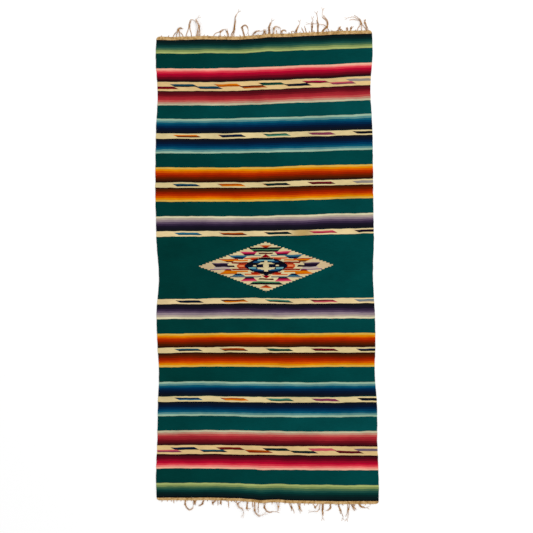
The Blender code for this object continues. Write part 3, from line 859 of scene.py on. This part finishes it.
# root is the middle of the lock's place across, and its outer strands start a spread apart.
# They come together at the knot, stem long and leaning so many degrees to the right. Past the
# knot the tail turns over its first half and curls over its second, and its strands fork by so
# many degrees. lanes 1 and 2 pass over lane 0.
Lock = namedtuple("Lock", "root spread strands stem lean tail turn curl fork lane")
TOP_LOCKS = (
    Lock(-410, 46, 4, 33, 2, 26, 85, 10, 0, 0),
    Lock(-361, 25, 2, 47, 4, 51, 8, 112, 0, 0),
    Lock(-318, 17, 4, 45, 8, 45, -55, 90, 0, 2),
    Lock(-230, 34, 2, 26, 41, 27, 20, 0, 0, 0),
    Lock(-180, 6, 2, 22, -16, 15, -6, 0, 30, 0),
    Lock(-160, 14, 3, 35, 16, 81, -14, 26, 0, 0),
    Lock(-106, 4, 2, 40, -18, 60, 140, 70, 0, 0),
    Lock(-66, 4, 2, 16, 45, 50, 40, 10, 0, 2),
    Lock(-13, 16, 4, 12, 0, 14, 20, 0, 50, 0),
    Lock(10, 8, 3, 28, -3, 32, 28, 4, 0, 0),
    Lock(28, 4, 2, 22, 8, 46, 90, 60, 0, 2),
    Lock(42, 0, 1, 11, 0, 7, 0, 0, 0, 0),
    Lock(64, 8, 2, 9, 10, 30, 80, 60, 0, 0),
    Lock(113, 0, 1, 8, -10, 14, 110, 40, 0, 0),
    Lock(131, 14, 3, 10, 10, 44, 25, -30, 0, 0),
    Lock(168, 0, 1, 14, -28, 12, 0, 10, 0, 0),
    Lock(180, 0, 1, 16, -18, 16, 4, -6, 0, 0),
    Lock(205, 3, 2, 26, 2, 34, -4, 6, 6, 0),
    Lock(233, 3, 2, 28, 0, 56, -9, 3, 0, 0),
    Lock(254, 7, 3, 31, 50, 84, -96, 46, 10, 0),
    Lock(284, 0, 1, 26, -40, 82, -48, 0, 0, 2),
    Lock(333, 28, 4, 10, -10, 15, 30, 0, 40, 0),
    Lock(367, 6, 2, 8, 0, 12, 0, 0, 30, 0),
    Lock(382, 3, 2, 12, 20, 14, 26, 0, 10, 0),
    Lock(434, 42, 3, 33, -6, 76, -62, -34, 30, 1),
    Lock(461, 6, 2, 36, -22, 20, 30, 0, 10, 0),
)
BOTTOM_LOCKS = (
    Lock(-430, 0, 1, 7, 4, 6, 0, 0, 0, 0),
    Lock(-377, 3, 2, 17, -4, 66, 60, 120, 0, 0),
    Lock(-334, 16, 4, 9, 0, 14, 6, 0, 50, 0),
    Lock(-293, 4, 2, 17, -22, 22, -42, -10, 0, 0),
    Lock(-238, 4, 2, 17, -56, 14, 80, 10, 0, 0),
    Lock(-227, 0, 1, 12, 0, 12, 0, 0, 0, 0),
    Lock(-214, 4, 2, 12, -2, 9, 0, 0, 20, 0),
    Lock(-178, 0, 1, 17, 0, 16, 4, -10, 0, 0),
    Lock(-136, 34, 2, 12, 0, 62, 60, -75, 0, 1),
    Lock(-91, 4, 2, 30, -7, 22, 84, 0, 30, 0),
    Lock(-68, 0, 1, 14, 0, 12, 10, 0, 0, 0),
    Lock(-58, 3, 2, 36, 0, 60, 50, 76, 0, 1),
    Lock(-41, 0, 1, 24, 0, 22, 0, 0, 0, 0),
    Lock(-12, 6, 2, 22, -4, 66, 78, 28, 0, 0),
    Lock(49, 12, 2, 20, 6, 20, -20, -10, 0, 2),
    Lock(104, 8, 2, 22, 24, 30, -15, -25, 40, 0),
    Lock(146, 12, 3, 20, 8, 26, 4, -10, 50, 0),
    Lock(222, 24, 2, 16, -6, 8, 0, 0, 0, 0),
    Lock(243, 0, 1, 24, -10, 42, -74, -4, 0, 1),
    Lock(255, 7, 3, 24, 0, 40, 0, 0, 0, 0),
    Lock(290, 4, 2, 18, 0, 26, -67, -13, 0, 0),
    Lock(327, 4, 2, 28, 18, 38, -2, 4, 12, 0),
    Lock(374, 8, 2, 24, -4, 44, -6, -2, 12, 0),
    Lock(394, 20, 4, 14, 8, 20, 36, 10, 40, 0),
    Lock(424, 8, 3, 8, 30, 32, 48, 4, 0, 0),
)

# How the strands of a lock lie against each other at the knot: to the side, and up
BUNDLES = {
    1: ((0.0, 0.0),),
    2: ((-0.5, 0.0), (0.5, 0.0)),
    3: ((-0.5, 0.0), (0.0, 0.95), (0.5, 0.0)),
    4: ((-0.5, 0.0), (-0.5, 1.0), (0.5, 1.0), (0.5, 0.0)),
}


def lock_path(lock, end, swing):
    """Points along a lock from root to tip, with the way it points at each; swing is in degrees."""
    woven = edge(end)
    x = lock.root * MM
    y = lay(across_at(x, woven), woven)[1]
    points = [(Vector((x, y, 0)), 0.0)]
    for k in range(1, STEM_STEPS + TAIL_STEPS + 1):
        if k <= STEM_STEPS:
            length = lock.stem / STEM_STEPS
            heading = lock.lean * min(1.0, k / STEM_STEPS + LEAN_AT_ROOT)
        else:
            part = (k - STEM_STEPS) / TAIL_STEPS
            length = lock.tail / TAIL_STEPS
            heading = lock.lean + (lock.turn + swing) * min(1.0, part * 2)
            heading += lock.curl * max(0.0, part * 2 - 1)
            heading += WAVE * math.sin(lock.root + 2 * k)
        heading = math.radians(heading)
        x += length * MM * math.sin(heading)
        y += end * length * MM * math.cos(heading)
        points.append((Vector((x, y, 0)), heading))
    return points


def lock_strands(lock, end, dice):
    """The strands of a lock: apart at their roots, together at the knot, forked past it."""
    woven = edge(end)
    strands = []
    for i, (beside, above) in enumerate(BUNDLES[lock.strands]):
        longest = i == lock.strands // 2
        keep = TAIL_STEPS if longest else round(TAIL_STEPS * dice.uniform(*TAIL_SHARES))
        place = i / max(1, lock.strands - 1) - 0.5
        root_side = place * max(lock.spread * MM, ROOT_PITCH * (lock.strands - 1))
        path = lock_path(lock, end, place * lock.fork)
        points = []
        for k, (middle, heading) in enumerate(path[:STEM_STEPS + keep + 1]):
            pinch = ease(k / STEM_STEPS)
            raised = ease(2 * k / STEM_STEPS)
            tail = max(0.0, (k - STEM_STEPS) / TAIL_STEPS)
            width = YARN * (1 - tail) + YARN_TIP * tail
            if k == STEM_STEPS and longest:
                width *= KNOT_SWELL
            side = Vector((math.cos(heading), -end * math.sin(heading), 0))
            point = middle + side * (root_side * (1 - pinch) + beside * KNOT_PITCH * pinch)
            root_height = lift(point.x, woven) + WALL / 2
            rest = FLOOR_GAP + YARN / 2 + lock.lane * LANE + above * KNOT_PITCH
            point.z = root_height * (1 - raised) + rest * raised
            if k > 0:
                point.z = max(point.z, FLOOR_GAP + width / 2)
            points.append((point, width))
        strands.append(points)
    return strands


def nub_strand(x, end, dice):
    """A short warp end that was trimmed or worn away close to the heading."""
    woven = edge(end)
    y = lay(across_at(x, woven), woven)[1]
    height = lift(x, woven) + WALL / 2
    length = dice.uniform(NUB_SHORTEST, NUB_LONGEST)
    lean = math.radians(dice.uniform(-NUB_LEAN, NUB_LEAN))
    middle = Vector((x, y + end * NUB_SHORTEST / 2, max(height, FLOOR_GAP + YARN / 2)))
    tip = Vector((x + length * math.sin(lean), y + end * length * math.cos(lean), middle.z))
    return [(Vector((x, y, height)), YARN), (middle, YARN), (tip, YARN_TIP)]


def fringe_strands(locks, end, seed):
    """Every strand of one end from left to right: the locks, and nubs in the bare stretches."""
    dice = random.Random(seed)
    strands = []
    for lock in locks:
        strands += lock_strands(lock, end, dice)
    woven = edge(end)
    roots = [strand[0][0].x for strand in strands]
    left, right = selvedges(woven)
    x = left + NUB_PITCH
    while x < right - NUB_PITCH * NUB_LAST:
        if min(abs(x - root) for root in roots) > NUB_CLEAR:
            strands.append(nub_strand(x, end, dice))
        x += NUB_PITCH * dice.uniform(*NUB_SPACING)
    strands.sort(key=lambda strand: strand[0][0].x)
    for before, strand in zip(strands, strands[1:]):
        strand[0][0].x = max(strand[0][0].x, before[0][0].x + ROOT_PITCH)
    return strands


# What a lock shows beyond its strands: loose fibres that make its yarn look a third thicker, the crimp
# that weaving has left, turns of yarn bound round the knot, and tips frayed to a few hairs. Only a
# tail longer than FRAY_MINIMUM, in millimetres, is frayed.
SMOOTH_STEPS = 5
YARN_FUZZ = 1.35
CRIMP = 1.5 * MM
CRIMP_LENGTH = 11.0 * MM
CRIMP_START = 8.0 * MM
CRIMP_SEED = 4
BINDING_TURNS = 2.5
BINDING_LENGTH = 5.0 * MM
BINDING_POINTS = 26
BINDING_CLEAR = YARN * 0.8
BINDING_RADIUS = YARN * 0.42
FRAY_MINIMUM = 30
FRAY_LENGTH = 15.0 * MM
FRAY_WIDTH = 1.0 * MM
FRAY_SPREAD = 26.0
FRAY_STOPS = (0.0, 0.3, 0.65, 1.0)


def smooth_strand(strand):
    """A strand's points joined by a smooth, crimped curve that passes near each of them."""
    places = [np.array((*point, YARN_FUZZ * width / 2)) for point, width in strand]
    places = [2 * places[0] - places[1]] + places + [2 * places[-1] - places[-2]]
    curve = []
    for a, b, c, d in zip(places, places[1:], places[2:], places[3:]):
        for n in range(SMOOTH_STEPS):
            t = n / SMOOTH_STEPS
            bend = (2 * a - 5 * b + 4 * c - d) * t ** 2 + (3 * b - a - 3 * c + d) * t ** 3
            curve.append(0.5 * (2 * b + (c - a) * t + bend))
    curve.append(places[-2])
    for place in curve:
        free = ease(math.dist(place[:2], curve[0][:2]) / CRIMP_START)
        place[:2] += CRIMP * free * np.array(noise.noise_vector(Vector(place[:3]) / CRIMP_LENGTH))[:2]
        place[2] = max(place[2], place[3])
    return curve


def bind_knot(lock, end):
    """The turns of yarn round a lock's knot, pressed flat against the floor."""
    middle, heading = lock_path(lock, end, 0.0)[STEM_STEPS]
    forward = Vector((math.sin(heading), end * math.cos(heading), 0))
    side = Vector((math.cos(heading), -end * math.sin(heading), 0))
    stacked = KNOT_PITCH if lock.strands > 2 else 0.0
    middle.z = FLOOR_GAP + YARN / 2 + lock.lane * LANE + stacked / 2
    coil = []
    for k in range(BINDING_POINTS):
        share = k / (BINDING_POINTS - 1)
        angle = BINDING_TURNS * 2 * math.pi * share
        point = middle + forward * BINDING_LENGTH * (share - 0.5)
        point += side * math.cos(angle) * (KNOT_PITCH / 2 + BINDING_CLEAR)
        point.z = max(point.z + math.sin(angle) * (stacked / 2 + YARN), FLOOR_GAP + YARN_TIP / 2)
        coil.append(np.array((*point, BINDING_RADIUS)))
    return coil


def fray_tip(lock, end):
    """Two hairs that spread from the tip of a lock's longest strand."""
    tip, heading = lock_path(lock, end, 0.0)[-1]
    tip.z = FLOOR_GAP + YARN_TIP / 2 + lock.lane * LANE
    hairs = []
    for turn in (-FRAY_SPREAD, FRAY_SPREAD):
        angle = heading + math.radians(turn)
        forward = Vector((math.sin(angle), end * math.cos(angle), 0))
        steps = [tip + forward * FRAY_LENGTH * share for share in FRAY_STOPS]
        hairs.append(smooth_strand([(step, FRAY_WIDTH) for step in steps]))
    return hairs


def twisted_yarn_tree(material):
    """A tree that turns each line it is given into plied yarn, as thick as the line says."""
    tree = bpy.data.node_groups.new("twisted yarn", "GeometryNodeTree")
    tree.interface.new_socket(name="Lines", in_out="INPUT", socket_type="NodeSocketGeometry")
    for name in ("Step", "Twist length", "Ply share"):
        tree.interface.new_socket(name=name, in_out="INPUT", socket_type="NodeSocketFloat")
    for name in ("Plies", "Sides"):
        tree.interface.new_socket(name=name, in_out="INPUT", socket_type="NodeSocketInt")
    tree.interface.new_socket(name="Yarn", in_out="OUTPUT", socket_type="NodeSocketGeometry")
    given = tree.nodes.new("NodeGroupInput").outputs
    inputs = {"Curve": given["Lines"], "Length": given["Step"]}
    lines = add_node(tree, "GeometryNodeResampleCurve", inputs, mode="LENGTH")
    inputs = {"Geometry": lines, "Amount": given["Plies"]}
    plies = add_node(tree, "GeometryNodeDuplicateElements", inputs, domain="SPLINE")
    which = plies.node.outputs["Duplicate Index"]
    radius = add_node(tree, "GeometryNodeInputRadius", {})
    along = add_node(tree, "GeometryNodeSplineParameter", {}, out="Length")
    turns = add_node(tree, "ShaderNodeMath", {0: along, 1: given["Twist length"]}, operation="DIVIDE")
    start = add_node(tree, "ShaderNodeMath", {0: which, 1: given["Plies"]}, operation="DIVIDE")
    turns = add_node(tree, "ShaderNodeMath", {0: turns, 1: start}, operation="ADD")
    angle = add_node(tree, "ShaderNodeMath", {0: turns, 1: 2 * math.pi}, operation="MULTIPLY")
    normal = add_node(tree, "GeometryNodeInputNormal", {})
    tangent = add_node(tree, "GeometryNodeInputTangent", {})
    inputs = {0: normal, "Axis": tangent, "Angle": angle}
    outward = add_node(tree, "ShaderNodeVectorRotate", inputs, rotation_type="AXIS_ANGLE")
    away = add_node(tree, "ShaderNodeMath", {0: 1.0, 1: given["Ply share"]}, operation="SUBTRACT")
    away = add_node(tree, "ShaderNodeMath", {0: away, 1: radius}, operation="MULTIPLY")
    offset = add_node(tree, "ShaderNodeVectorMath", {0: outward, "Scale": away}, operation="SCALE")
    plies = add_node(tree, "GeometryNodeSetPosition", {"Geometry": plies, "Offset": offset})
    thick = add_node(tree, "ShaderNodeMath", {0: radius, 1: given["Ply share"]}, operation="MULTIPLY")
    inputs = {"Resolution": given["Sides"], "Radius": 1.0}
    ring = add_node(tree, "GeometryNodeCurvePrimitiveCircle", inputs)
    inputs = {"Curve": plies, "Profile Curve": ring, "Scale": thick, "Fill Caps": True}
    yarn = add_node(tree, "GeometryNodeCurveToMesh", inputs)
    yarn = add_node(tree, "GeometryNodeSetShadeSmooth", {"Geometry": yarn})
    yarn = add_node(tree, "GeometryNodeRealizeInstances", {"Geometry": yarn})
    yarn = add_node(tree, "GeometryNodeSetMaterial", {"Geometry": yarn, "Material": material})
    result = tree.nodes.new("NodeGroupOutput")
    tree.links.new(yarn, result.inputs["Yarn"])
    return tree


def spin_yarn(name, curves, tree, sizes):
    """One piece of yarn along all of the curves."""
    lines = bpy.data.curves.new(name + "_lines", "CURVE")
    lines.dimensions = "3D"
    for curve in curves:
        spline = lines.splines.new("POLY")
        spline.points.add(len(curve) - 1)
        for point, place in zip(spline.points, curve):
            point.co = (*place[:3], 1.0)
            point.radius = place[3]
    guide = bpy.data.objects.new(name + "_lines", lines)
    bpy.context.scene.collection.objects.link(guide)
    modifier = guide.modifiers.new("twisted yarn", "NODES")
    modifier.node_group = tree
    for item in tree.interface.items_tree:
        if item.name in sizes:
            modifier[item.identifier] = sizes[item.name]
    ready = guide.evaluated_get(bpy.context.evaluated_depsgraph_get())
    mesh = bpy.data.meshes.new_from_object(ready)
    bpy.data.objects.remove(guide, do_unlink=True)
    piece = bpy.data.objects.new(name, mesh)
    bpy.context.scene.collection.objects.link(piece)
    return piece


fringe_wool = undyed_wool("undyed_wool_yarn", grain=2.4, shades=FRINGE_SHADES)
yarn_tree = twisted_yarn_tree(fringe_wool)
yarn_sizes = {"Step": 1.3 * MM, "Twist length": 8.0 * MM, "Ply share": 0.56, "Plies": 2, "Sides": 6}
Fringe = namedtuple("Fringe", "end side_name locks seed")
FRINGES = (Fringe(1, "top", TOP_LOCKS, 11), Fringe(-1, "bottom", BOTTOM_LOCKS, 23))
noise.seed_set(CRIMP_SEED)
for end, side_name, locks, seed in FRINGES:
    curves = [smooth_strand(strand) for strand in fringe_strands(locks, end, seed)]
    curves += [bind_knot(lock, end) for lock in locks if lock.strands > 1]
    for lock in locks:
        if lock.tail > FRAY_MINIMUM:
            curves += fray_tip(lock, end)
    fringe = spin_yarn("fringe_yarn_" + side_name, curves, yarn_tree, yarn_sizes)
    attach(fringe, "root")
    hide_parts("fringe_" + side_name)


# The studio
# A pale matt floor under the cloth, a plain white sky, one large soft lamp up to the right, and a
# camera straight above the middle.
FLOOR_SIZE = 8.0
FLOOR_DROP = 0.3 * MM
FLOOR_WHITE = "#FBFBFB"
SKY_STRENGTH = 0.955
LAMP_SIZE = 2.4
LAMP_POWER = 45.0
LAMP_PLACE = (2.6, 1.6, 3.4)
CAMERA_LENS = 85.0
CAMERA_SENSOR = 36.0
VIEW_WIDTH = 2.452
VIEW_MIDDLE = (-0.0037, 0.0009)

floor_mesh = bpy.data.meshes.new("floor")
corner = FLOOR_SIZE / 2
corners = [(-corner, -corner), (corner, -corner), (corner, corner), (-corner, corner)]
floor_mesh.from_pydata([(x, y, -FLOOR_DROP) for x, y in corners], [], [(0, 1, 2, 3)])
floor = bpy.data.objects.new("floor", floor_mesh)
bpy.context.scene.collection.objects.link(floor)
floor_paint = bpy.data.materials.new("matt_white_floor")
floor_paint.use_nodes = True
paint = floor_paint.node_tree.nodes["Principled BSDF"]
paint.inputs["Base Color"].default_value = linear(FLOOR_WHITE)
paint.inputs["Roughness"].default_value = 1.0
paint.inputs["Specular IOR Level"].default_value = 0.0
floor_mesh.materials.append(floor_paint)

sky = bpy.data.worlds.new("white_sky")
bpy.context.scene.world = sky
sky.use_nodes = True
sky.node_tree.nodes["Background"].inputs["Color"].default_value = (1.0, 1.0, 1.0, 1.0)
sky.node_tree.nodes["Background"].inputs["Strength"].default_value = SKY_STRENGTH

lamp = bpy.data.lights.new("soft_lamp", "AREA")
lamp.shape = "DISK"
lamp.size = LAMP_SIZE
lamp.energy = LAMP_POWER
lamp_object = bpy.data.objects.new("soft_lamp", lamp)
lamp_object.location = LAMP_PLACE
lamp_object.rotation_euler = lamp_object.location.to_track_quat("Z", "Y").to_euler()
bpy.context.scene.collection.objects.link(lamp_object)

lens = bpy.data.cameras.new("camera")
lens.lens = CAMERA_LENS
lens.sensor_width = CAMERA_SENSOR
camera = bpy.data.objects.new("camera", lens)
camera.location = (*VIEW_MIDDLE, VIEW_WIDTH * CAMERA_LENS / CAMERA_SENSOR)
bpy.context.scene.collection.objects.link(camera)
bpy.context.scene.camera = camera
bpy.context.scene.view_settings.view_transform = "Standard"
bpy.context.scene.view_settings.look = "None"
